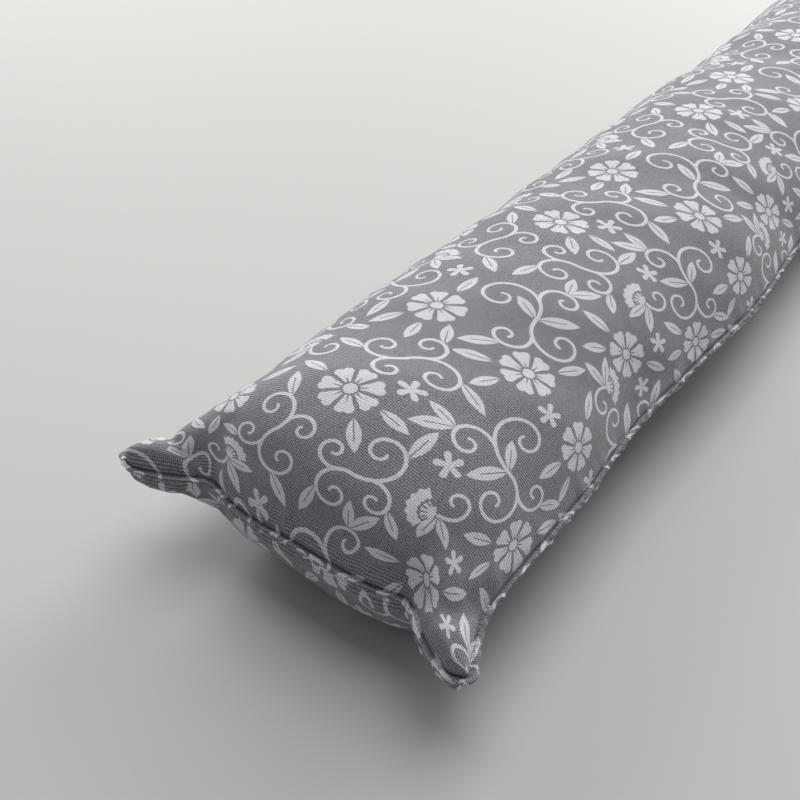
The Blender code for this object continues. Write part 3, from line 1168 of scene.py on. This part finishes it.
# For the baked copy the roll is cut into strips, one above the other, with a margin between.
ROLL_STRIPS = 12
STRIP_FROM, STRIP_SHARE = 0.05, 0.9
strip_length = around / ROLL_STRIPS
first = np.repeat(np.arange(around), sides)
side_of = np.tile(np.arange(sides), around)
strip = np.floor(first / strip_length)
left = (first - strip * strip_length) / strip_length
right = (first + 1 - strip * strip_length) / strip_length
low = (strip + STRIP_FROM + STRIP_SHARE * side_of / sides) / ROLL_STRIPS
high = (strip + STRIP_FROM + STRIP_SHARE * (side_of + 1) / sides) / ROLL_STRIPS
bake_corners = np.stack(
    [
        np.stack([left, low], -1),
        np.stack([left, high], -1),
        np.stack([right, high], -1),
        np.stack([right, low], -1),
    ],
    axis=1,
)[:, ::-1]
add_map(edge_roll, "OFBake", bake_corners)
edge_roll.data.materials.append(printed_cloth("stitched_edge"))
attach(edge_roll, "root")
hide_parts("edge_roll")

# ------------------------------------------------
# Stitches. Grey sewing thread, one short length between two needle holes, on the upper and the
# lower face of the roll.

THREAD_RADIUS = 0.00019
THREAD_DARK = (0.16, 0.16, 0.17, 1.0)
THREAD_LIGHTER = 1.7  # how much lighter its light flecks are
THREAD_ROUGHNESS = 0.7
FLECK_SCALE = 2600.0
THREAD_SIDES = 6
THREAD_PROFILE = (
    # share of the stitch, height over the cloth, share of the thread's radius
    (0.10, -0.00025, 0.35),
    (0.22, 0.00006, 0.90),
    (0.50, 0.00014, 1.00),
    (0.78, 0.00006, 0.90),
    (0.90, -0.00025, 0.35),
)
STITCH_OUT = 0.0011  # from the seam
STITCH_HEIGHT = 0.0008  # of the cloth's face there


def stitch_threads(face):
    """Every stitch of one face: five rings of six points from one needle hole to the next."""
    rows = np.arange(0, around - STEPS_A_STITCH, STEPS_A_STITCH)
    table = np.array(THREAD_PROFILE)
    at = rows[:, None] + table[None, :, 0] * STEPS_A_STITCH
    base = read_at(at, np.arange(around), seam_line)
    out = read_at(at, np.arange(around), outward)
    up = face * (STITCH_HEIGHT + table[None, :, 1])
    centre = base + STITCH_OUT * out + up[..., None] * upward
    angle = np.arange(THREAD_SIDES) / THREAD_SIDES * 2 * math.pi
    radius = THREAD_RADIUS * table[None, :, 2]
    sideways = radius[..., None] * np.cos(angle)
    upwards = radius[..., None] * np.sin(angle)
    points = centre[:, :, None, :] + sideways[..., None] * out[:, :, None, :]
    return points + upwards[..., None] * upward


threads = np.concatenate([stitch_threads(1), stitch_threads(-1)])
count, rings, _, _ = threads.shape
thread_ring = np.arange(rings * THREAD_SIDES).reshape(rings, THREAD_SIDES)
low_ring, high_ring = thread_ring[:-1], thread_ring[1:]
thread_quads = np.stack(
    [low_ring, np.roll(low_ring, -1, axis=1), np.roll(high_ring, -1, axis=1), high_ring], axis=-1
).reshape(-1, 4)[:, ::-1]
end_caps = np.stack([thread_ring[0], thread_ring[-1, ::-1]])
start = (np.arange(count) * rings * THREAD_SIDES)[:, None, None]
quads = (thread_quads[None] + start).reshape(-1, 4)
caps = (end_caps[None] + start).reshape(-1, THREAD_SIDES)
stitches = add_piece("stitches", threads.reshape(-1, 3), quads.tolist() + caps.tolist())


def sewing_thread():
    """Grey spun thread, its plies seen as light and dark flecks."""
    material, tree, shader = new_material("sewing_thread")
    coordinates = tree.nodes.new("ShaderNodeTexCoord")
    place = Field(tree, coordinates.outputs["Object"])
    fleck = noise_of(place, FLECK_SCALE)
    light = tuple(THREAD_LIGHTER * part for part in THREAD_DARK[:3]) + (1.0,)
    colour = mixed(THREAD_DARK, light, fleck)
    plug(colour, shader, "Base Color")
    plug(THREAD_ROUGHNESS, shader, "Roughness")
    return material


stitches.data.materials.append(sewing_thread())
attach(stitches, "root")
